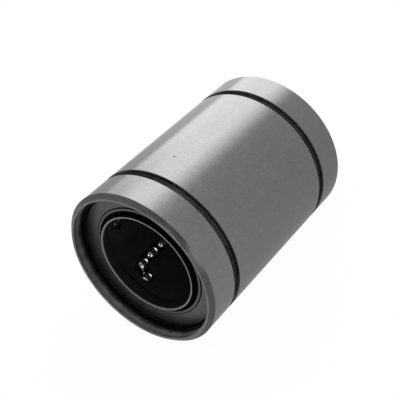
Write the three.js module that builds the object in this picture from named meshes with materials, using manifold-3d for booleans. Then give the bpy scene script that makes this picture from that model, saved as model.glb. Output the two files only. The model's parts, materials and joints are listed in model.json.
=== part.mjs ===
// Linear ball bushing for a 20 mm shaft, 32 mm outside diameter, 45 mm long, with two end seals.
// Millimetres, +Z up. The bore runs along Y, the front end is at -Y, and the origin is the centre of the bore.
import * as THREE from 'three';
import { mergeVertices } from 'three/addons/utils/BufferGeometryUtils.js';
import Module from 'manifold-3d';

const wasm = await Module();
wasm.setup();

// Outer sleeve
const LENGTH = 45;
const OUTER_R = 16;
const CHAMFER = 0.75;
const MOUTH_R = 14.8;
const RING_GROOVE_OUTER_SPAN = 31.5;
const RING_GROOVE_WIDTH = 1.6;
const RING_GROOVE_BOTTOM_R = 15.15;
const RACEWAY_R = 13.25;
const RACEWAY_LENGTH = 24.8;
const RELIEF_R = 14.35;
const SEAT_DEPTH = 4.9;

// Retaining ring, in a groove of the mouth
const SNAP_GROOVE_START = 2.1;
const SNAP_GROOVE_END = 3.0;
const SNAP_GROOVE_R = 15.35;
const SNAP_RING_START = 2.25;
const SNAP_RING_THICKNESS = 0.6;
const SNAP_RING_OUTER_R = 15.2;
const SNAP_RING_INNER_R = 14.45;
const SNAP_RING_GAP = 2.4;
const SNAP_RING_GAP_ANGLE = 20;

// Seal: depths are measured from the end face
const SEAL_OUTER_R = 14.6;
const SEAL_FACE_DEPTH = 3.05;
const SEAL_BACK_DEPTH = 4.6;
const SEAL_STEP_R = 11.45;
const SEAL_STEP_DEPTH = 2.9;
const CHANNEL_OUTER_R = 10.85;
const CHANNEL_DEPTH = 3.9;
const LIP_OUTER_R = 10.4;
const LIP_INNER_R = 9.8;
const LIP_DEPTH = 2.15;

// Cage
const CAGE_OUTER_R = 12.9;
const CAGE_INNER_R = 10.3;
const CAGE_LENGTH = 35.2;
const COLLAR_R = 14.05;
const COLLAR_WIDTH = 0.5;
const TRACK_HALF_WIDTH = 1.87;
const TRACK_FLOOR = 0.85;
const SLOT_HALF_WIDTH = 1.5;
const SLOT_FLOOR = 1.68;

// Balls and their circuits
const CIRCUITS = 5;
const FIRST_LOAD_ANGLE = 233;
const SHAFT_R = 10;
const BALL_R = 1.5875;
const LOAD_R = SHAFT_R + BALL_R;
const RETURN_R = 12.55;
const TURN_R = 3.0;
const STRAIGHT = 24.4;
const BALLS_PER_CIRCUIT = 20;
const BALLS_PER_ROW = 7;
const PITCH = (2 * STRAIGHT + 2 * Math.PI * TURN_R) / BALLS_PER_CIRCUIT;
const RETURN_GROOVE_R = 1.95;
const CORE_R = 0.3;

// Facets
const ROUND_STEPS = 40;
const ARC_STEPS = 8;
const BALL_STEPS = 8;
const OVERSHOOT = 3;

const steel = { color: 0xb4b6b8, roughness: 0.32, metalness: 1.0 };
const darkSteel = { color: 0x55575a, roughness: 0.5, metalness: 1.0 };
const ballSteel = { color: 0xd8dadc, roughness: 0.08, metalness: 1.0 };
const rubber = { color: 0x1d1d1e, roughness: 0.75, metalness: 0.0 };
const resin = { color: 0x101011, roughness: 0.5, metalness: 0.0 };

const rad = THREE.MathUtils.degToRad;

function toSolid(geometry) {
  const plain = geometry.clone();
  plain.deleteAttribute('normal');
  plain.deleteAttribute('uv');
  const merged = mergeVertices(plain, 1e-4);
  return new wasm.Manifold(new wasm.Mesh({
    numProp: 3,
    vertProperties: new Float32Array(merged.attributes.position.array),
    triVerts: new Uint32Array(merged.index.array),
  }));
}

function toGeometry(solid) {
  const mesh = solid.getMesh();
  const geometry = new THREE.BufferGeometry();
  geometry.setAttribute('position', new THREE.BufferAttribute(new Float32Array(mesh.vertProperties), 3));
  geometry.setIndex(new THREE.BufferAttribute(new Uint32Array(mesh.triVerts), 1));
  geometry.computeVertexNormals();
  return geometry;
}

function named(name, geometry, finish) {
  const mesh = new THREE.Mesh(geometry, new THREE.MeshStandardMaterial(finish));
  mesh.name = name;
  return mesh;
}

// A closed outline of [radius, y] points, turned round the Y axis.
function turned(outline, steps = ROUND_STEPS) {
  const points = outline.map(([radius, y]) => new THREE.Vector2(radius, y));
  points.push(points[0].clone());
  return new THREE.LatheGeometry(points, steps);
}

// An outline given for the front end, repeated in mirror for the rear end.
function bothEnds(front) {
  const rear = front.map(([radius, y]) => [radius, -y]).reverse();
  return front.concat(rear);
}

// The two straight rows and the plane of one circuit.
function circuitFrame(number) {
  const loadAngle = rad(FIRST_LOAD_ANGLE + (360 / CIRCUITS) * (number - 1));
  const cosine = (LOAD_R ** 2 + RETURN_R ** 2 - (2 * TURN_R) ** 2) / (2 * LOAD_R * RETURN_R);
  const returnAngle = loadAngle + Math.acos(cosine);
  const load = new THREE.Vector3(Math.cos(loadAngle), 0, Math.sin(loadAngle)).multiplyScalar(LOAD_R);
  const back = new THREE.Vector3(Math.cos(returnAngle), 0, Math.sin(returnAngle)).multiplyScalar(RETURN_R);
  const centre = load.clone().add(back).multiplyScalar(0.5);
  const across = back.clone().sub(load).normalize();
  const along = new THREE.Vector3(0, 1, 0);
  const outward = new THREE.Vector3().crossVectors(across, along);
  if (outward.dot(centre) < 0) {
    outward.negate();
  }
  return { load, back, centre, across, along, outward };
}

// Places a shape drawn in a circuit's own plane: x across the rows, y along them, z outward.
function inCircuit(geometry, frame) {
  const mirrored = new THREE.Vector3().crossVectors(frame.across, frame.along).dot(frame.outward) < 0;
  const across = mirrored ? frame.across.clone().negate() : frame.across;
  const basis = new THREE.Matrix4().makeBasis(across, frame.along, frame.outward);
  return geometry.applyMatrix4(basis.setPosition(frame.centre));
}

// A straight-sided oval about the line between the two turn centres.
function ovalPath(path, radius) {
  path.absarc(0, STRAIGHT / 2, radius, 0, Math.PI, false);
  path.absarc(0, -STRAIGHT / 2, radius, Math.PI, 2 * Math.PI, false);
  path.closePath();
  return path;
}

// The space that the balls sweep round one circuit, from a floor below their centres outward.
function trackCut(frame, halfWidth, floor) {
  const outline = ovalPath(new THREE.Shape(), TURN_R + halfWidth);
  outline.holes.push(ovalPath(new THREE.Path(), TURN_R - halfWidth));
  const height = floor + BALL_R + OVERSHOOT;
  const prism = new THREE.ExtrudeGeometry(outline, {
    depth: height,
    bevelEnabled: false,
    curveSegments: ARC_STEPS / 2,
  });
  prism.translate(0, 0, -floor);
  return toSolid(inCircuit(prism, frame));
}

function ball() {
  return new THREE.SphereGeometry(BALL_R, BALL_STEPS, BALL_STEPS / 2);
}

function outerSleeve() {
  const end = -LENGTH / 2;
  const grooveOuter = -RING_GROOVE_OUTER_SPAN / 2;
  const grooveInner = grooveOuter + RING_GROOVE_WIDTH;
  const outside = [
    [OUTER_R - CHAMFER, end],
    [OUTER_R, end + CHAMFER],
    [OUTER_R, grooveOuter],
    [RING_GROOVE_BOTTOM_R, grooveOuter],
    [RING_GROOVE_BOTTOM_R, grooveInner],
    [OUTER_R, grooveInner],
  ];
  const inside = [
    [MOUTH_R, end],
    [MOUTH_R, end + SNAP_GROOVE_START],
    [SNAP_GROOVE_R, end + SNAP_GROOVE_START],
    [SNAP_GROOVE_R, end + SNAP_GROOVE_END],
    [MOUTH_R, end + SNAP_GROOVE_END],
    [MOUTH_R, end + SEAT_DEPTH],
    [RELIEF_R, end + SEAT_DEPTH],
    [RELIEF_R, -RACEWAY_LENGTH / 2],
    [RACEWAY_R, -RACEWAY_LENGTH / 2],
  ];
  let body = toSolid(turned(bothEnds(outside).concat(bothEnds(inside).reverse())));
  for (let number = 1; number <= CIRCUITS; number += 1) {
    const groove = new THREE.CylinderGeometry(
      RETURN_GROOVE_R, RETURN_GROOVE_R, RACEWAY_LENGTH + OVERSHOOT, ARC_STEPS,
    );
    groove.rotateY(Math.PI / ARC_STEPS);
    const place = circuitFrame(number).back;
    groove.translate(place.x, 0, place.z);
    body = body.subtract(toSolid(groove));
  }
  return named('outer_sleeve', toGeometry(body), steel);
}

function ballCage() {
  const end = -CAGE_LENGTH / 2;
  let body = toSolid(turned(bothEnds([
    [CAGE_INNER_R, end],
    [COLLAR_R, end],
    [COLLAR_R, end + COLLAR_WIDTH],
    [CAGE_OUTER_R, end + COLLAR_WIDTH],
  ])));
  for (let number = 1; number <= CIRCUITS; number += 1) {
    const frame = circuitFrame(number);
    body = body.subtract(trackCut(frame, TRACK_HALF_WIDTH, TRACK_FLOOR));
    body = body.subtract(trackCut(frame, SLOT_HALF_WIDTH, SLOT_FLOOR));
  }
  return named('ball_cage', toGeometry(body), resin);
}

function seal(name, side) {
  const face = (depth) => side * (LENGTH / 2 - depth);
  const outline = [
    [SEAL_OUTER_R, face(SEAL_BACK_DEPTH)],
    [SEAL_OUTER_R, face(SEAL_FACE_DEPTH)],
    [SEAL_STEP_R, face(SEAL_FACE_DEPTH)],
    [SEAL_STEP_R, face(SEAL_STEP_DEPTH)],
    [CHANNEL_OUTER_R, face(SEAL_STEP_DEPTH)],
    [CHANNEL_OUTER_R, face(CHANNEL_DEPTH)],
    [LIP_OUTER_R, face(CHANNEL_DEPTH)],
    [LIP_OUTER_R, face(LIP_DEPTH)],
    [LIP_INNER_R, face(LIP_DEPTH)],
    [LIP_INNER_R, face(SEAL_BACK_DEPTH)],
  ];
  const body = turned(side < 0 ? outline.reverse() : outline);
  return named(name, toGeometry(toSolid(body)), rubber);
}

function retainingRing(name, side) {
  const near = side * (LENGTH / 2 - SNAP_RING_START);
  const far = near - side * SNAP_RING_THICKNESS;
  const low = Math.min(near, far);
  const high = Math.max(near, far);
  const ring = toSolid(turned([
    [SNAP_RING_INNER_R, low],
    [SNAP_RING_OUTER_R, low],
    [SNAP_RING_OUTER_R, high],
    [SNAP_RING_INNER_R, high],
  ]));
  const gap = new THREE.BoxGeometry(OVERSHOOT, 2 * OVERSHOOT, SNAP_RING_GAP);
  gap.translate((SNAP_RING_INNER_R + SNAP_RING_OUTER_R) / 2, (low + high) / 2, 0);
  gap.rotateY(-rad(SNAP_RING_GAP_ANGLE));
  return named(name, toGeometry(ring.subtract(toSolid(gap))), darkSteel);
}

function loadBalls(number) {
  const { load } = circuitFrame(number);
  const balls = [];
  for (let place = 1; place <= BALLS_PER_ROW; place += 1) {
    const y = (place - (BALLS_PER_ROW + 1) / 2) * PITCH;
    const mesh = named(`circuit_${number}_load_ball_${place}`, ball(), ballSteel);
    mesh.position.set(load.x, y, load.z);
    balls.push(mesh);
  }
  return balls;
}

// The balls of a return row: one bead chain, turned round its own axis.
function returnBalls(number) {
  const { back } = circuitFrame(number);
  const half = ((BALLS_PER_ROW - 1) / 2) * PITCH;
  const points = [new THREE.Vector2(0, -half - BALL_R)];
  for (let place = 0; place < BALLS_PER_ROW; place += 1) {
    const y = place * PITCH - half;
    for (const angle of [-60, 0, 60]) {
      points.push(new THREE.Vector2(BALL_R * Math.cos(rad(angle)), y + BALL_R * Math.sin(rad(angle))));
    }
    if (place < BALLS_PER_ROW - 1) {
      points.push(new THREE.Vector2(CORE_R, y + PITCH / 2));
    }
  }
  points.push(new THREE.Vector2(0, half + BALL_R));
  const chain = toSolid(new THREE.LatheGeometry(points, BALL_STEPS));
  const mesh = named(`circuit_${number}_return_balls`, toGeometry(chain), ballSteel);
  mesh.position.set(back.x, 0, back.z);
  return mesh;
}

// The balls of an end turn, joined by a thin core along the turn.
function turnBalls(name, number, side) {
  const frame = circuitFrame(number);
  const step = PITCH / TURN_R;
  let chain = null;
  for (let place = -1; place <= 1; place += 1) {
    const angle = place * step;
    const centre = new THREE.Vector3(Math.sin(angle), side * Math.cos(angle), 0).multiplyScalar(TURN_R);
    const bead = ball();
    bead.rotateZ(-side * angle);
    bead.translate(centre.x, centre.y, 0);
    const solid = toSolid(bead);
    chain = chain ? chain.add(solid) : solid;
  }
  for (const place of [-0.5, 0.5]) {
    const angle = place * step;
    const middle = TURN_R * Math.cos(step / 2);
    const link = new THREE.CylinderGeometry(CORE_R, CORE_R, PITCH * 0.6, BALL_STEPS / 2);
    link.rotateZ(Math.PI / 2 - side * angle);
    link.translate(middle * Math.sin(angle), side * middle * Math.cos(angle), 0);
    chain = chain.add(toSolid(link));
  }
  const shape = toGeometry(chain);
  shape.translate(0, (side * STRAIGHT) / 2, 0);
  return named(name, inCircuit(shape, frame), ballSteel);
}

function circuit(number) {
  const group = new THREE.Group();
  group.add(...loadBalls(number));
  group.add(returnBalls(number));
  group.add(turnBalls(`circuit_${number}_front_turn_balls`, number, -1));
  group.add(turnBalls(`circuit_${number}_rear_turn_balls`, number, 1));
  return group;
}

const bushing = new THREE.Group();
bushing.add(outerSleeve());
bushing.add(ballCage());
bushing.add(retainingRing('retaining_ring_front', -1));
bushing.add(retainingRing('retaining_ring_rear', 1));
bushing.add(seal('seal_front', -1));
bushing.add(seal('seal_rear', 1));
for (let number = 1; number <= CIRCUITS; number += 1) {
  bushing.add(circuit(number));
}

export default bushing;
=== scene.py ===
"""Linear ball bushing, 20 x 32 x 45 mm: fine meshes, materials, studio and camera around the CAD frame."""

import json
import math

import bmesh
import bpy
from mathutils import Matrix, Vector


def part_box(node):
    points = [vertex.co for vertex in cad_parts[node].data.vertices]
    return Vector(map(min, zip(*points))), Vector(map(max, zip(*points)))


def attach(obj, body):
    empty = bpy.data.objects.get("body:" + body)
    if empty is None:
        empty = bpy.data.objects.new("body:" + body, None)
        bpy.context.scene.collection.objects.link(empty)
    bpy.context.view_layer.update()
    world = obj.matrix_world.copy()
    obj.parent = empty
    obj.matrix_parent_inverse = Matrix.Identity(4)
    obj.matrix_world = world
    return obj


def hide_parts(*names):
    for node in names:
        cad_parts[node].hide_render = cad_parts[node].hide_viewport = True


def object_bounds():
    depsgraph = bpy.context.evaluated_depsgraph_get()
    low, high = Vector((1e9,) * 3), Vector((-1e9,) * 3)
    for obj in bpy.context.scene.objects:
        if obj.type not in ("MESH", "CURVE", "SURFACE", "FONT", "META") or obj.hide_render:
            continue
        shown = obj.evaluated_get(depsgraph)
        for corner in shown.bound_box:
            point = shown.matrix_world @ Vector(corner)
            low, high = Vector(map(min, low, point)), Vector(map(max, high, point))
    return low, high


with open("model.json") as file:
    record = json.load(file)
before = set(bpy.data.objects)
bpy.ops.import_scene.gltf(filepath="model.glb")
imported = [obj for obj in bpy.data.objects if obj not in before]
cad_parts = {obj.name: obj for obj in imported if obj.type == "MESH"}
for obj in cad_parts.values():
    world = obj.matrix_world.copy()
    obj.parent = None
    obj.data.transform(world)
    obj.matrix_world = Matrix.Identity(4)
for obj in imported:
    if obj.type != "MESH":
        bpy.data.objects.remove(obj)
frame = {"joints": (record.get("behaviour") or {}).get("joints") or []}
CAD_LOW, CAD_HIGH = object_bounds()

# Driving sizes, in millimetres, measured from the end face where they are depths.
# The sleeve's own box gives its length and radius.
MM = 0.001
SLEEVE_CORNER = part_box("outer_sleeve")[1]
OUTER_R = SLEEVE_CORNER.x / MM
HALF_LENGTH = SLEEVE_CORNER.y / MM
CHAMFER = 0.75
MOUTH_R = 14.8
MOUTH_BREAK = 0.06

# Depths of the mouth's tone: darker towards the rim, full further in, then painted shade deeper in the recess,
# with an uneven border.
MOUTH_RIM_DARKEST = 0.1
MOUTH_RIM_DARK_END = 0.9
MOUTH_SHADE_START = 1.2
MOUTH_SHADE_FULL = 1.7
MOUTH_WANDER = 0.15

# The two grooves round the outside: distances of their walls from the middle, and their bottom.
RING_GROOVE_OUTER = 15.75
RING_GROOVE_INNER = 14.15
RING_GROOVE_R = 15.15

# Inside the sleeve: the raceway, the relief beyond it, the seat of the seal, and the snap ring's groove.
RACEWAY_R = 13.2
RACEWAY_HALF = 12.4
RELIEF_R = 14.35
SEAT_DEPTH = 4.9
SNAP_GROOVE_START = 2.1
SNAP_GROOVE_END = 3.0
SNAP_GROOVE_R = 15.35

# The snap ring, which lies loose in its groove, and its gap in degrees.
SNAP_START = 2.25
SNAP_THICKNESS = 0.6
SNAP_OUTER_R = 15.2
SNAP_INNER_R = 14.48
SNAP_GAP_CENTRE = 20.0
SNAP_GAP = 9.0

# The seal: face, step, channel and lip.
SEAL_OUTER_R = 14.58
SEAL_FACE = 3.05
SEAL_BACK = 4.6
SEAL_STEP_R = 11.45
SEAL_STEP = 2.9
CHANNEL_R = 10.88
CHANNEL_FLOOR = 3.9
LIP_OUTER_R = 10.32
LIP_INNER_R = 9.8
LIP_FRONT = 2.15

# The fine groove beside the seal's step, the broken edge of the channel, and how the lip narrows
# to its edge and flares behind it.
FINE_GROOVE_WIDTH = 0.2
FINE_GROOVE_FLOOR = 0.08
FINE_GROOVE_DEPTH = 0.3
CHANNEL_BREAK = 0.12
CHANNEL_DRAFT = 0.03
LIP_TAPER = 0.12
LIP_CROWN = 0.3
THROAT_BEND = 1.2
THROAT_FLARE = 0.55

# The cage, with a collar at each end. A track cutter is open outward up to its height.
CAGE_OUTER_R = 12.9
CAGE_INNER_R = 10.3
CAGE_HALF = 17.6
COLLAR_R = 14.05
COLLAR_WIDTH = 0.5
TRACK_HALF_WIDTH = 1.72
TRACK_CUTTER_HEIGHT = 6.0

# The balls, and the groove in the sleeve behind each return row. At its bottom a sliver of the
# raceway's step is left, so that no face collapses.
BALL_R = 1.5875
RETURN_GROOVE_R = 1.9
GROOVE_STEP = 0.03
CIRCUITS = 5
BALLS_PER_ROW = 7

SLEEVE_FINISHES = ["ground", "turned", "faced", "groove", "mouth"]
SEAL_FINISHES = ["rubber", "channel", "lip", "throat"]

# Fineness of the meshes. A fillet may take up to its share of each side beside it.
ROUND_STEPS = 288
FILLET_STEPS = 4
FILLET_SHARE = 0.45
BALL_GRID = 12
TRACK_ARC_STEPS = 20
SHARP_DEGREES = 35
WELD_METRES = 1e-7


# ---------------------------------------------------------------- mesh tools

def new_object(name, vertices, faces, finishes=(), finish_names=()):
    mesh = bpy.data.meshes.new(name)
    mesh.from_pydata([tuple(vertex) for vertex in vertices], [], faces)
    for index, finish in enumerate(finishes):
        mesh.polygons[index].material_index = finish_names.index(finish)
    mesh.polygons.foreach_set("use_smooth", [True] * len(mesh.polygons))
    work = bmesh.new()
    work.from_mesh(mesh)
    bmesh.ops.recalc_face_normals(work, faces=work.faces)
    work.to_mesh(mesh)
    work.free()
    piece = bpy.data.objects.new(name, mesh)
    bpy.context.scene.collection.objects.link(piece)
    return piece


def even_shading(piece):
    """Broad faces keep their own shading beside narrow rounded edges."""
    weighted = piece.modifiers.new("even_shading", "WEIGHTED_NORMAL")
    weighted.mode = "FACE_AREA"
    return piece


def rounded(corners):
    """Corners are (radius, y, fillet, finish of the stretch that follows), in millimetres."""
    points = []
    count = len(corners)
    for index, (radius, y, fillet, finish) in enumerate(corners):
        here = Vector((radius, y))
        before = Vector(corners[index - 1][:2]) - here
        after = Vector(corners[(index + 1) % count][:2]) - here
        bend = before.angle(after)
        room = FILLET_SHARE * min(before.length, after.length)
        reach = min(fillet / math.tan(bend / 2), room)
        fillet = reach * math.tan(bend / 2)
        bisector = (before.normalized() + after.normalized()).normalized()
        centre = here + bisector * fillet / math.sin(bend / 2)
        first = here + before.normalized() * reach - centre
        last = here + after.normalized() * reach - centre
        swing = math.pi - bend
        arriving = corners[index - 1][3]
        for step in range(FILLET_STEPS + 1):
            share = step / FILLET_STEPS
            spoke = first * math.sin((1 - share) * swing) + last * math.sin(share * swing)
            point = centre + spoke / math.sin(swing)
            points.append((point.x, point.y, finish if step == FILLET_STEPS else arriving))
    return points


def both_ends(front):
    """The corners of the front end, then the same corners in mirror for the rear end."""
    rear = []
    for index in range(len(front) - 1, -1, -1):
        radius, y, fillet, _ = front[index]
        finish = front[index - 1][3] if index else front[-1][3]
        rear.append((radius, -y, fillet, finish))
    return front + rear


def turned(name, outline, finish_names, angles=None, radius_at=None):
    """An outline of (radius, y, finish) points swept round Y: a full turn, or an open arc with end faces."""
    whole = angles is None
    if whole:
        angles = [2 * math.pi * step / ROUND_STEPS for step in range(ROUND_STEPS)]
    vertices = []
    for angle in angles:
        for radius, y, _ in outline:
            reach = radius_at(radius, angle) if radius_at else radius
            vertices.append((reach * math.cos(angle) * MM, y * MM, reach * math.sin(angle) * MM))
    count = len(outline)
    faces = []
    finishes = []
    spans = len(angles) if whole else len(angles) - 1
    for span in range(spans):
        here = span * count
        there = ((span + 1) % len(angles)) * count
        for index in range(count):
            following = (index + 1) % count
            faces.append((here + index, here + following, there + following, there + index))
            finishes.append(outline[index][2])
    if not whole:
        faces.append(tuple(range(count)))
        faces.append(tuple(range((len(angles) - 1) * count, len(angles) * count)))
        finishes += [outline[0][2]] * 2
    piece = new_object(name, vertices, faces, finishes, finish_names)
    return even_shading(piece)


def ball_grid(centres):
    """Balls as six curved square grids each, so that no facet is long or pinched."""
    ticks = [math.tan((2 * step / BALL_GRID - 1) * math.pi / 4) for step in range(BALL_GRID + 1)]
    vertices = []
    faces = []
    sides = [(axis, sign) for axis in range(3) for sign in (-1, 1)]
    for centre in centres:
        for axis, sign in sides:
            base = len(vertices)
            for u in ticks:
                for v in ticks:
                    point = [0.0, 0.0, 0.0]
                    point[axis] = sign
                    point[(axis + 1) % 3] = u
                    point[(axis + 2) % 3] = v
                    vertices.append(centre + Vector(point).normalized() * BALL_R * MM)
            row = BALL_GRID + 1
            for i in range(BALL_GRID):
                for j in range(BALL_GRID):
                    corner = base + i * row + j
                    faces.append((corner, corner + 1, corner + row + 1, corner + row))
    return vertices, faces


def balls(name, centres):
    """One piece of separate balls, with the seams between their grids welded."""
    vertices, faces = ball_grid(centres)
    piece = new_object(name, vertices, faces, ["ball"] * len(faces), ["ball"])
    work = bmesh.new()
    work.from_mesh(piece.data)
    bmesh.ops.remove_doubles(work, verts=work.verts, dist=WELD_METRES)
    bmesh.ops.recalc_face_normals(work, faces=work.faces)
    work.to_mesh(piece.data)
    work.free()
    return piece


# ---------------------------------------------------------------- circuits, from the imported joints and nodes

def middle(node):
    low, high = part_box(node)
    return (low + high) / 2


def hinge(name):
    return next(joint for joint in frame["joints"] if joint["name"] == name)


def circuit_places(number):
    """Ball centres of one circuit, and the turn centres and directions of its loop, in metres."""
    load = [middle(f"circuit_{number}_load_ball_{i}") for i in range(1, BALLS_PER_ROW + 1)]
    back_centre = middle(f"circuit_{number}_return_balls")
    pitch = (load[-1].y - load[0].y) / (BALLS_PER_ROW - 1)
    steps = range(-(BALLS_PER_ROW // 2), BALLS_PER_ROW // 2 + 1)
    back = [Vector((back_centre.x, step * pitch, back_centre.z)) for step in steps]
    turns = {}
    for end in ("front", "rear"):
        centre = Vector(hinge(f"circuit_{number}_{end}_turn_swing")["pos_m"])
        across = Vector((back_centre.x, centre.y, back_centre.z)) - centre
        radius = across.length
        across.normalize()
        along = Vector((0, math.copysign(1, centre.y), 0))
        places = []
        for step in (-1, 0, 1):
            angle = step * pitch / radius
            places.append(centre + (across * math.sin(angle) + along * math.cos(angle)) * radius)
        turns[end] = places
    # The two ends are alike, so the sizes and directions of the rear one, found last, stand for both.
    outward = Vector(hinge(f"circuit_{number}_rear_turn_swing")["axis"]).normalized()
    if outward.dot(centre) < 0:
        outward.negate()
    return {
        "load": load,
        "back": back,
        "turns": turns,
        "outward": outward,
        "across": across,
        "radius": radius,
        "turn_y": abs(centre.y),
        "centre": Vector((centre.x, 0, centre.z)),
    }


PLACES = {number: circuit_places(number) for number in range(1, CIRCUITS + 1)}


# ---------------------------------------------------------------- pieces

def outer_sleeve():
    """Sleeve with raceway and return grooves. The corners are as rounded() takes them, front end first."""
    end = -HALF_LENGTH
    outside = [
        (OUTER_R - CHAMFER, end, 0.06, "turned"),
        (OUTER_R, end + CHAMFER, 0.12, "ground"),
        (OUTER_R, -RING_GROOVE_OUTER, 0.07, "groove"),
        (RING_GROOVE_R, -RING_GROOVE_OUTER, 0.15, "groove"),
        (RING_GROOVE_R, -RING_GROOVE_INNER, 0.15, "groove"),
        (OUTER_R, -RING_GROOVE_INNER, 0.07, "ground"),
    ]
    inside = [
        (MOUTH_R + MOUTH_BREAK, end, 0.03, "mouth"),
        (MOUTH_R, end + MOUTH_BREAK, 0.05, "mouth"),
        (MOUTH_R, end + SNAP_GROOVE_START, 0.05, "mouth"),
        (SNAP_GROOVE_R, end + SNAP_GROOVE_START, 0.08, "mouth"),
        (SNAP_GROOVE_R, end + SNAP_GROOVE_END, 0.08, "mouth"),
        (MOUTH_R, end + SNAP_GROOVE_END, 0.05, "mouth"),
        (MOUTH_R, end + SEAT_DEPTH, 0.1, "mouth"),
        (RELIEF_R, end + SEAT_DEPTH, 0.05, "mouth"),
        (RELIEF_R, -RACEWAY_HALF, 0.2, "mouth"),
        (RACEWAY_R, -RACEWAY_HALF, 0.1, "ground"),
    ]
    outer = both_ends(outside)
    inner = both_ends(inside)
    inner.reverse()
    # Run backwards, each stretch of the inside takes its finish from the corner that now comes next.
    backwards = []
    for index, (radius, y, fillet, _) in enumerate(inner):
        backwards.append((radius, y, fillet, inner[(index + 1) % len(inner)][3]))
    # The last corner of each run leads across a flat end face.
    backwards[-1] = (*backwards[-1][:3], "faced")
    outer[-1] = (*outer[-1][:3], "faced")
    returns = [math.atan2(place["back"][0].z, place["back"][0].x) for place in PLACES.values()]
    return_r = PLACES[1]["back"][0].xz.length / MM

    def with_return_grooves(radius, angle):
        """The raceway's step is squeezed to the depth left beside the groove, and never to nothing."""
        for groove in returns:
            off = (angle - groove + math.pi) % (2 * math.pi) - math.pi
            side = return_r * math.sin(off)
            if radius < RELIEF_R and abs(side) < RETURN_GROOVE_R:
                reach = return_r * math.cos(off) + math.sqrt(RETURN_GROOVE_R ** 2 - side ** 2)
                reach = max(RACEWAY_R, min(reach, RELIEF_R - GROOVE_STEP))
                radius = RELIEF_R - (RELIEF_R - radius) * (RELIEF_R - reach) / (RELIEF_R - RACEWAY_R)
        return radius

    return turned("sleeve", rounded(outer + backwards), SLEEVE_FINISHES, radius_at=with_return_grooves)


def end_seal(name, side):
    """From the back over the outer edge, the face, the step and the channel to the lip and its throat."""
    def corner(radius, depth, fillet, finish="rubber"):
        return (radius, side * (HALF_LENGTH - depth), fillet, finish)

    return turned(name, rounded([
        corner(SEAL_OUTER_R, SEAL_BACK, 0.15),
        corner(SEAL_OUTER_R, SEAL_FACE, 0.45),
        corner(SEAL_STEP_R + FINE_GROOVE_WIDTH, SEAL_FACE, 0.04),
        corner(SEAL_STEP_R + FINE_GROOVE_FLOOR, SEAL_FACE + FINE_GROOVE_DEPTH, 0.03),
        corner(SEAL_STEP_R, SEAL_STEP, 0.06),
        # From the broken edge on, the channel's finish: painted shade in the recess, and a thin painted dark
        # line on the edge.
        corner(CHANNEL_R + CHANNEL_BREAK, SEAL_STEP, 0.02, "channel"),
        corner(CHANNEL_R, SEAL_STEP + 0.1, 0.05, "channel"),
        corner(CHANNEL_R - CHANNEL_DRAFT, CHANNEL_FLOOR, 0.12, "channel"),
        corner(LIP_OUTER_R, CHANNEL_FLOOR, 0.12, "channel"),
        corner(LIP_OUTER_R, LIP_FRONT + LIP_CROWN, 0.1, "channel"),
        # The lip's front takes a much lighter copy of the rubber: a painted highlight along its edge.
        corner(LIP_OUTER_R - LIP_TAPER, LIP_FRONT + 0.05, 0.08, "lip"),
        corner(LIP_INNER_R + LIP_TAPER, LIP_FRONT, 0.08, "lip"),
        # The throat takes a copy of the rubber without its sheen, toned to the shade inside the bore: painted
        # shade.
        corner(LIP_INNER_R, LIP_FRONT + 0.18, 0.1, "throat"),
        corner(LIP_INNER_R + LIP_TAPER, SEAL_BACK - THROAT_BEND, 0.3, "throat"),
        corner(LIP_INNER_R + THROAT_FLARE, SEAL_BACK, 0.1),
    ]), SEAL_FINISHES)


def snap_ring(name, side):
    """Split retaining ring of rectangular wire."""
    near = side * (HALF_LENGTH - SNAP_START)
    far = near - side * SNAP_THICKNESS
    outline = rounded([
        (SNAP_INNER_R, near, 0.08, "ring"),
        (SNAP_OUTER_R, near, 0.08, "ring"),
        (SNAP_OUTER_R, far, 0.08, "ring"),
        (SNAP_INNER_R, far, 0.08, "ring"),
    ])
    first = math.radians(SNAP_GAP_CENTRE + SNAP_GAP / 2)
    sweep = math.radians(360 - SNAP_GAP)
    angles = [first + sweep * step / ROUND_STEPS for step in range(ROUND_STEPS + 1)]
    return turned(name, outline, ["ring"], angles=angles)


def track_cutter(number):
    """The ball groove of one circuit: round below the ball centres, open outward, swept round the loop."""
    place = PLACES[number]
    half = TRACK_HALF_WIDTH * MM
    top = TRACK_CUTTER_HEIGHT * MM
    profile = [(half, top)]
    for step in range(TRACK_ARC_STEPS + 1):
        angle = math.pi * step / TRACK_ARC_STEPS
        profile.append((half * math.cos(angle), -half * math.sin(angle)))
    profile.append((-half, top))
    stations = []
    for end in (1, -1):
        for step in range(TRACK_ARC_STEPS + 1):
            angle = math.pi * step / TRACK_ARC_STEPS
            spoke = place["across"] * math.cos(angle) * end + Vector((0, end, 0)) * math.sin(angle)
            stations.append((place["centre"] + Vector((0, end * place["turn_y"], 0)), spoke))
    vertices = []
    for centre, spoke in stations:
        for side, lift in profile:
            vertices.append(centre + spoke * (place["radius"] + side) + place["outward"] * lift)
    count = len(profile)
    faces = []
    for index in range(len(stations)):
        here = index * count
        there = ((index + 1) % len(stations)) * count
        for corner in range(count):
            following = (corner + 1) % count
            faces.append((here + corner, here + following, there + following, there + corner))
    return new_object(f"track_cutter_{number}", vertices, faces)


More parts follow.
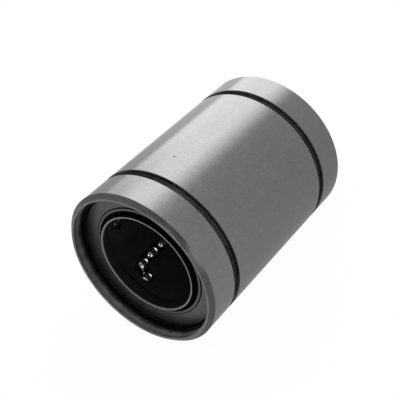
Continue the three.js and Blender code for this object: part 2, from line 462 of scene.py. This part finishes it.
def ball_cage():
    """A tube with a collar at each end, and the five tracks cut into it."""
    end = -CAGE_HALF
    cage = turned("cage", rounded(both_ends([
        (CAGE_INNER_R, end, 0.25, "resin"),
        (COLLAR_R, end, 0.12, "resin"),
        (COLLAR_R, end + COLLAR_WIDTH, 0.1, "resin"),
        (CAGE_OUTER_R, end + COLLAR_WIDTH, 0.1, "resin"),
    ])), ["resin"])
    cage.modifiers.clear()
    cutters = []
    for number in range(1, CIRCUITS + 1):
        cutter = track_cutter(number)
        cutters.append(cutter)
        cut = cage.modifiers.new(f"track_{number}", "BOOLEAN")
        cut.operation = "DIFFERENCE"
        cut.solver = "EXACT"
        cut.object = cutter
    bpy.context.view_layer.update()
    shaped = bpy.data.meshes.new_from_object(cage.evaluated_get(bpy.context.evaluated_depsgraph_get()))
    cage.modifiers.clear()
    cage.data = shaped
    for cutter in cutters:
        bpy.data.objects.remove(cutter)
    shaped.set_sharp_from_angle(angle=math.radians(SHARP_DEGREES))
    return even_shading(cage)


# ---------------------------------------------------------------- materials

class Shader:
    """A material and short ways to add nodes to it."""

    def __init__(self, name):
        self.material = bpy.data.materials.new(name)
        self.material.use_nodes = True
        self.tree = self.material.node_tree
        self.surface = self.tree.nodes["Principled BSDF"]

    def put(self, socket, value):
        if isinstance(value, bpy.types.NodeSocket):
            self.tree.links.new(value, socket)
        else:
            socket.default_value = value

    def add(self, kind, inputs=None, **settings):
        node = self.tree.nodes.new(kind)
        for key, value in settings.items():
            setattr(node, key, value)
        for key, value in (inputs or {}).items():
            self.put(node.inputs[key], value)
        return node

    def set(self, **values):
        for key, value in values.items():
            self.put(self.surface.inputs[key.replace("_", " ")], value)

    def place(self, scale):
        """Object coordinates, stretched by a scale for each axis."""
        where = self.add("ShaderNodeTexCoord").outputs["Object"]
        return self.add("ShaderNodeMapping", {"Vector": where, "Scale": scale}).outputs["Vector"]

    def noise(self, scale, detail=4.0, roughness=0.6):
        node = self.add("ShaderNodeTexNoise", {"Vector": self.place(scale), "Scale": 1.0,
                                               "Detail": detail, "Roughness": roughness})
        return node.outputs["Fac"]

    def span(self, value, low, high, to_low, to_high, smooth=False):
        node = self.add("ShaderNodeMapRange", {"Value": value, "From Min": low, "From Max": high,
                                               "To Min": to_low, "To Max": to_high})
        node.interpolation_type = "SMOOTHSTEP" if smooth else "LINEAR"
        return node.outputs["Result"]

    def vary(self, pattern, low, high):
        """From low to high as the noise goes over the range that it mostly stays in."""
        return self.span(pattern, 0.3, 0.7, low, high)

    def maths(self, operation, first, second=0.0):
        return self.add("ShaderNodeMath", {0: first, 1: second}, operation=operation).outputs[0]

    def grey(self, value, tint=(1.0, 1.0, 1.0)):
        """A neutral colour of this brightness, with a fixed slight tint."""
        scaled = [self.maths("MULTIPLY", value, part) for part in tint]
        node = self.add("ShaderNodeCombineColor", {0: scaled[0], 1: scaled[1], 2: scaled[2]})
        return node.outputs[0]

    def bump(self, height, strength, distance):
        node = self.add("ShaderNodeBump", {"Height": height, "Strength": strength, "Distance": distance})
        return node.outputs["Normal"]


def per_mm(x, y, z):
    """Noise cells per millimetre along each axis, for coordinates in metres."""
    return (x / MM, y / MM, z / MM)


def sparse_spots(shader, cells_per_mm, radius, share):
    """One inside small round spots, in a share of the cells of a grid, and zero elsewhere."""
    vector = shader.place(per_mm(cells_per_mm, cells_per_mm, cells_per_mm))
    cells = shader.add("ShaderNodeTexVoronoi", {"Vector": vector, "Scale": 1.0, "Randomness": 1.0})
    red = shader.add("ShaderNodeSeparateColor", {0: cells.outputs["Color"]}).outputs[0]
    chosen = shader.maths("LESS_THAN", red, share)
    inside = shader.span(cells.outputs["Distance"], radius * 0.5, radius, 1.0, 0.0, smooth=True)
    return shader.maths("MULTIPLY", chosen, inside)


def round_the_bore(shader):
    """Grain that runs round the bore axis."""
    tangent = shader.add("ShaderNodeTangent", direction_type="RADIAL", axis="Y")
    return tangent.outputs["Tangent"]


def ground_steel():
    """Ground outside of the sleeve: fine grain, faint marks round the bore, cloudy tone, a few small pits."""
    s = Shader("ground_steel")
    grain = s.noise(per_mm(3.2, 3.2, 3.2), detail=3.0, roughness=0.7)
    marks = s.noise(per_mm(0.6, 3.0, 0.6), detail=4.0, roughness=0.65)
    mottle = s.noise(per_mm(1.1, 0.7, 1.1), detail=5.0, roughness=0.65)
    clouds = s.noise(per_mm(0.1, 0.06, 0.1), detail=2.0, roughness=0.5)
    pits = sparse_spots(s, 0.17, 0.045, 0.85)
    level = s.vary(grain, 0.54, 0.67)
    level = s.maths("MULTIPLY", level, s.vary(marks, 0.965, 1.035))
    level = s.maths("MULTIPLY", level, s.vary(mottle, 0.95, 1.045))
    level = s.maths("MULTIPLY", level, s.vary(clouds, 0.97, 1.03))
    level = s.maths("MULTIPLY", level, s.span(pits, 0.0, 1.0, 1.0, 0.25))
    rough = s.maths("ADD", s.span(mottle, 0.25, 0.75, 0.13, 0.19), s.maths("MULTIPLY", pits, 0.3))
    height = s.maths("ADD", s.maths("MULTIPLY", grain, 0.7), s.maths("MULTIPLY", marks, 0.35))
    height = s.maths("SUBTRACT", s.maths("ADD", height, s.maths("MULTIPLY", mottle, 0.6)), pits)
    s.set(Base_Color=s.grey(level, (1.0, 1.0, 1.005)), Metallic=1.0, Roughness=rough, Anisotropic=0.3,
          Anisotropic_Rotation=0.25, Tangent=round_the_bore(s), Normal=s.bump(height, 0.38, 0.004 * MM))
    return s.material


def tool_marks_and_stains(shader):
    """The two patterns of every turned surface: fine tool marks round the bore, and blotches."""
    lines = shader.noise(per_mm(0.12, 5.0, 0.12), detail=3.0)
    stains = shader.noise(per_mm(0.5, 0.5, 0.5), detail=4.0)
    return lines, stains


def set_turned_surface(shader, level, lines, stains, rough):
    shader.set(Base_Color=shader.grey(level), Metallic=1.0,
               Roughness=shader.vary(stains, rough - 0.02, rough + 0.04),
               Normal=shader.bump(lines, 0.06, 0.004 * MM))


def turned_steel(name, dark, light, rough):
    """Turned steel: regular fine tool marks round the bore, with stains."""
    s = Shader(name)
    lines, stains = tool_marks_and_stains(s)
    pattern = s.maths("ADD", s.maths("MULTIPLY", lines, 0.35), s.maths("MULTIPLY", stains, 0.65))
    set_turned_surface(s, s.span(pattern, 0.35, 0.65, dark, light), lines, stains, rough)
    return s.material


def mouth_steel_painted_shade(dark, light, rough):
    """Turned steel of the mouths: darker towards the rim, full tone further in, and painted shade deeper down
    in the recess.
    """
    s = Shader("mouth_steel_painted_shade")
    lines, stains = tool_marks_and_stains(s)
    where = s.add("ShaderNodeTexCoord").outputs["Object"]
    along = s.add("ShaderNodeSeparateXYZ", {0: where}).outputs["Y"]
    depth = s.maths("SUBTRACT", HALF_LENGTH * MM, s.maths("ABSOLUTE", along))
    wander = s.vary(stains, -MOUTH_WANDER * MM, MOUTH_WANDER * MM)
    uneven = s.maths("SUBTRACT", depth, wander)
    # Painted shade in the recess: the tone falls to a quarter deeper in, past an uneven border.
    painted_shade = s.span(uneven, MOUTH_SHADE_START * MM, MOUTH_SHADE_FULL * MM, 1.0, 0.25, smooth=True)
    # Darker towards the rim of the mouth.
    rim_darkening = s.span(depth, MOUTH_RIM_DARKEST * MM, MOUTH_RIM_DARK_END * MM, 0.6, 1.0, smooth=True)
    level = s.maths("MULTIPLY", s.span(stains, 0.35, 0.65, dark, light), s.maths("MULTIPLY", painted_shade, rim_darkening))
    set_turned_surface(s, level, lines, stains, rough)
    return s.material


def rubber(name, dark, light, rough, shine=0.35):
    """Moulded nitrile rubber: fine grain, flow marks and dust."""
    s = Shader(name)
    grain = s.noise(per_mm(5.0, 5.0, 5.0), detail=3.0)
    flow = s.noise(per_mm(0.8, 0.8, 0.8), detail=5.0, roughness=0.7)
    dust = sparse_spots(s, 1.1, 0.16, 0.2)
    level = s.maths("ADD", s.vary(flow, dark, light), s.maths("MULTIPLY", dust, light * 0.5))
    height = s.maths("ADD", s.maths("MULTIPLY", grain, 0.4), flow)
    s.set(Base_Color=s.grey(level), Roughness=s.vary(grain, rough - 0.08, rough + 0.08),
          Specular_IOR_Level=shine, Normal=s.bump(height, 0.33, 0.03 * MM))
    return s.material


def cage_resin():
    """Black moulded resin with a satin, slightly uneven skin."""
    s = Shader("cage_resin")
    skin = s.noise(per_mm(3.0, 3.0, 3.0), detail=3.0)
    tone = s.noise(per_mm(0.3, 0.3, 0.3), detail=3.0)
    s.set(Base_Color=s.grey(s.vary(tone, 0.014, 0.026)), Specular_IOR_Level=0.12,
          Roughness=s.vary(tone, 0.58, 0.7), Normal=s.bump(skin, 0.3, 0.01 * MM))
    return s.material


def ball_steel():
    """Polished bearing steel under a thin uneven film of oil."""
    s = Shader("ball_steel")
    film = s.noise(per_mm(0.9, 0.9, 0.9), detail=2.0)
    s.set(Base_Color=s.grey(s.vary(film, 0.76, 0.84)), Metallic=1.0,
          Roughness=s.vary(film, 0.04, 0.1))
    return s.material


def black_oxide():
    """Blackened spring steel of the retaining rings."""
    s = Shader("ring_steel")
    patches = s.noise(per_mm(1.2, 1.2, 1.2), detail=4.0)
    s.set(Base_Color=s.grey(s.vary(patches, 0.006, 0.018)), Metallic=1.0,
          Roughness=s.vary(patches, 0.38, 0.55), Normal=s.bump(patches, 0.3, 0.01 * MM))
    return s.material


FINISHES = {
    "ground": ground_steel(),
    "turned": turned_steel("turned_steel", 0.22, 0.3, 0.22),
    "faced": turned_steel("faced_steel", 0.15, 0.22, 0.25),
    # The grooves: a darker copy of the turned steel, painted shade in the recess.
    "groove": turned_steel("groove_painted_shade", 0.1, 0.2, 0.5),
    # The mouths: painted shade deeper in, and darker towards the rim.
    "mouth": mouth_steel_painted_shade(0.5, 0.7, 0.6),
    "ring": black_oxide(),
    "rubber": rubber("seal_rubber", 0.004, 0.011, 0.3, 1.0),
    # The channel: a nearly black copy of the rubber without sheen, painted shade in the recess.
    "channel": rubber("seal_rubber_painted_shade", 0.002, 0.005, 0.8, 0.05),
    # The throat: a copy of the rubber with its sheen taken out and its tone set to the bore's shade, painted
    # shade.
    "throat": rubber("seal_throat_painted_shade", 0.012, 0.022, 0.7, 0.1),
    # The lip: a much lighter copy of the rubber, a painted highlight along its edge.
    "lip": rubber("seal_lip_painted_highlight", 0.14, 0.2, 0.45),
    "resin": cage_resin(),
    "ball": ball_steel(),
}


def finish(piece, finish_names, slot, body, *nodes):
    """Gives a piece its materials, puts it on its body, and lets it stand for its CAD nodes; the slot is not
    used.
    """
    for name in finish_names:
        piece.data.materials.append(FINISHES[name])
    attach(piece, body)
    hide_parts(*nodes)


# ---------------------------------------------------------------- assembly

finish(outer_sleeve(), SLEEVE_FINISHES, "ground_steel", "bushing", "outer_sleeve")
finish(ball_cage(), ["resin"], "cage_resin", "bushing", "ball_cage")
for end_name, end_side in (("front", -1), ("rear", 1)):
    finish(end_seal(f"seal_rubber_{end_name}", end_side), SEAL_FINISHES,
           "seal_rubber", "bushing", f"seal_{end_name}")
    finish(snap_ring(f"snap_ring_{end_name}", end_side), ["ring"],
           "ring_steel", "bushing", f"retaining_ring_{end_name}")
for circuit, spots in PLACES.items():
    for index, spot in enumerate(spots["load"], start=1):
        finish(balls(f"ball_{circuit}_load_{index}", [spot]), ["ball"], "ball_steel",
               f"circuit_{circuit}_load_row", f"circuit_{circuit}_load_ball_{index}")
    finish(balls(f"balls_{circuit}_return", spots["back"]), ["ball"], "ball_steel",
           f"circuit_{circuit}_return_row", f"circuit_{circuit}_return_balls")
    for end_name, turn_spots in spots["turns"].items():
        finish(balls(f"balls_{circuit}_{end_name}_turn", turn_spots), ["ball"], "ball_steel",
               f"circuit_{circuit}_{end_name}_turn", f"circuit_{circuit}_{end_name}_turn_balls")


# ---------------------------------------------------------------- stage, light and camera

WHITE = (1.0, 1.0, 1.0, 1.0)
FLOOR_HALF = 6.0
FLOOR_DROP = 0.0002

# Directions and strengths of what the steel reflects.
CAMERA_SIDE = (0.34, -0.73, 0.6)
PANEL_SIDE = (0.0, -0.985, 0.17)
FRONT_BOX_SIDE = (0.75, -0.6, 0.28)
GREY_CARDS = 0.3
CAMERA_LEVEL = 0.14
STRIP_LEVEL = 1.15
FLOOR_CARD_LEVEL = 0.75
PANEL_LEVEL = 7.0
OVERHEAD_LEVEL = 0.6
FRONT_BOX_LEVEL = 1.0
REAR_CARD_LEVEL = 1.6
BACKGROUND_LEVEL = 1.0


def pale_floor():
    """A wide white floor that glows, so that shadows on it stay faint. The steel doesn't reflect it."""
    z = CAD_LOW.z - FLOOR_DROP
    corners = [(-FLOOR_HALF, -FLOOR_HALF, z), (FLOOR_HALF, -FLOOR_HALF, z),
               (FLOOR_HALF, FLOOR_HALF, z), (-FLOOR_HALF, FLOOR_HALF, z)]
    floor = new_object("floor", corners, [(0, 1, 2, 3)])
    s = Shader("floor_white")
    s.set(Base_Color=(0.1, 0.1, 0.1, 1.0), Roughness=0.9, Specular_IOR_Level=0.0,
          Emission_Color=WHITE, Emission_Strength=0.95)
    floor.data.materials.append(s.material)
    floor.visible_glossy = False


def studio_light():
    """Surroundings as the steel sees them, by direction: a large softbox behind and above on the left,
    a bright floor behind on the left, some small cards, and grey elsewhere. Turn is the angle in degrees
    about the bore's axis, from +X through +Z."""
    world = bpy.data.worlds.new("studio")
    world.use_nodes = True
    bpy.context.scene.world = world
    tree = world.node_tree

    def add(kind, inputs, **settings):
        node = tree.nodes.new(kind)
        for key, value in settings.items():
            setattr(node, key, value)
        for key, value in inputs.items():
            if isinstance(value, bpy.types.NodeSocket):
                tree.links.new(value, node.inputs[key])
            else:
                node.inputs[key].default_value = value
        return node

    def ramp(value, low, high):
        """Rises softly from zero at low to one at high, which may be the smaller of the two."""
        node = add("ShaderNodeMapRange", {"Value": value, "From Min": low, "From Max": high})
        node.interpolation_type = "SMOOTHSTEP"
        return node.outputs["Result"]

    def maths(operation, first, second):
        return add("ShaderNodeMath", {0: first, 1: second}, operation=operation).outputs[0]

    def both(first, second):
        """The share where the two overlap."""
        return maths("MULTIPLY", first, second)

    def blend(share, low, high):
        """From low where the share is zero to high where it is one."""
        node = add("ShaderNodeMapRange", {"Value": share, "To Min": low, "To Max": high})
        return node.outputs["Result"]

    toward = add("ShaderNodeTexCoord", {}).outputs["Generated"]
    split = add("ShaderNodeSeparateXYZ", {"Vector": toward}).outputs
    x, y, z = split["X"], split["Y"], split["Z"]
    turn = maths("MULTIPLY", maths("ARCTAN2", z, x), 180 / math.pi)

    def facing(direction):
        """The cosine of the angle to this direction."""
        inputs = {0: toward, 1: direction}
        return add("ShaderNodeVectorMath", inputs, operation="DOT_PRODUCT").outputs["Value"]

    def mixed(level, share, target):
        """The level so far, taken to the target where the share is one."""
        inputs = {"Factor": share, "A": level, "B": target}
        return add("ShaderNodeMix", inputs, data_type="FLOAT").outputs["Result"]

    # Grey cards all round, a little darker on the right, and darkest there far behind.
    right_cards = blend(ramp(y, 0.56, 0.64), 0.275, 0.24)
    level = mixed(right_cards, ramp(x, 0.5, -0.5), GREY_CARDS)
    level = mixed(level, ramp(y, 0.3, -0.1), GREY_CARDS)
    # The dark camera, and the cards round it.
    level = mixed(level, ramp(facing(CAMERA_SIDE), 0.75, 0.97), CAMERA_LEVEL)
    # The large softbox behind on the left, brighter further back, above all along its lower edge.
    behind = ramp(y, 0.2, 0.5)
    right_edge = ramp(turn, 84.0, 122.0)
    lower_edge = ramp(turn, 183.0, 172.0)
    softbox = both(both(right_edge, lower_edge), behind)
    upper_level = blend(ramp(y, 0.5, 0.7), 0.92, 1.12)
    lower_level = blend(ramp(y, 0.54, 0.66), 0.55, 1.17)
    box_level = mixed(lower_level, ramp(turn, 160.0, 128.0), upper_level)
    level = mixed(level, softbox, box_level)
    # The floor behind on the left: grey, with a bright strip.
    floor_left = both(maths("LESS_THAN", turn, 0.0), behind)
    grey_floor = both(floor_left, ramp(turn, -110.0, -140.0))
    level = mixed(level, grey_floor, blend(ramp(y, 0.54, 0.72), 0.36, 0.6))
    bright_strip = both(ramp(turn, -150.0, -134.0), ramp(turn, -100.0, -125.0))
    level = mixed(level, both(floor_left, bright_strip), STRIP_LEVEL)
    # A white card on the floor in front on the left, which lights the end face from below.
    low_and_left = both(ramp(z, -0.25, -0.45), ramp(x, 0.15, -0.15))
    level = mixed(level, both(low_and_left, ramp(y, 0.1, -0.1)), FLOOR_CARD_LEVEL)
    # A small bright panel nearly straight ahead of the bore, and a soft one overhead.
    level = mixed(level, ramp(facing(PANEL_SIDE), 0.972, 0.987), PANEL_LEVEL)
    level = mixed(level, ramp(z, 0.8, 0.9), OVERHEAD_LEVEL)
    # A soft box in front on the right, for the sleeve seen from behind.
    level = mixed(level, ramp(facing(FRONT_BOX_SIDE), 0.955, 0.985), FRONT_BOX_LEVEL)
    # A white card behind the rear opening, which the balls reflect through the bore.
    level = mixed(level, ramp(y, 0.9, 0.94), REAR_CARD_LEVEL)
    # The camera sees plain white behind the bushing.
    seen = add("ShaderNodeLightPath", {}).outputs["Is Camera Ray"]
    level = mixed(level, seen, BACKGROUND_LEVEL)
    background = tree.nodes["Background"]
    tree.links.new(level, background.inputs["Strength"])
    background.inputs["Color"].default_value = WHITE


def studio_camera():
    """The front end seen from above, through a long lens. Distances are in sleeve radii."""
    azimuth = math.radians(35.23)
    elevation = math.radians(40.8)
    roll = math.radians(-0.61)
    level_right = Vector((math.cos(azimuth), math.sin(azimuth), 0))
    ahead = Vector((-math.sin(azimuth), math.cos(azimuth), 0))
    forward = ahead * math.cos(elevation) - Vector((0, 0, 1)) * math.sin(elevation)
    level_up = level_right.cross(forward)
    right = level_right * math.cos(roll) + level_up * math.sin(roll)
    up = level_up * math.cos(roll) - level_right * math.sin(roll)
    off_right = 0.1171
    off_up = -0.0351
    away = 10.461
    place = -(right * off_right + up * off_up + forward * away) * OUTER_R * MM
    data = bpy.data.cameras.new("camera")
    data.sensor_width = 36.0
    data.lens = 78.45
    data.clip_start = 0.01
    camera = bpy.data.objects.new("camera", data)
    camera.matrix_world = Matrix.Translation(place) @ Matrix((right, up, -forward)).transposed().to_4x4()
    bpy.context.scene.collection.objects.link(camera)
    bpy.context.scene.camera = camera


bpy.context.scene.view_settings.view_transform = "Standard"
pale_floor()
studio_light()
studio_camera()

bpy.context.view_layer.update()
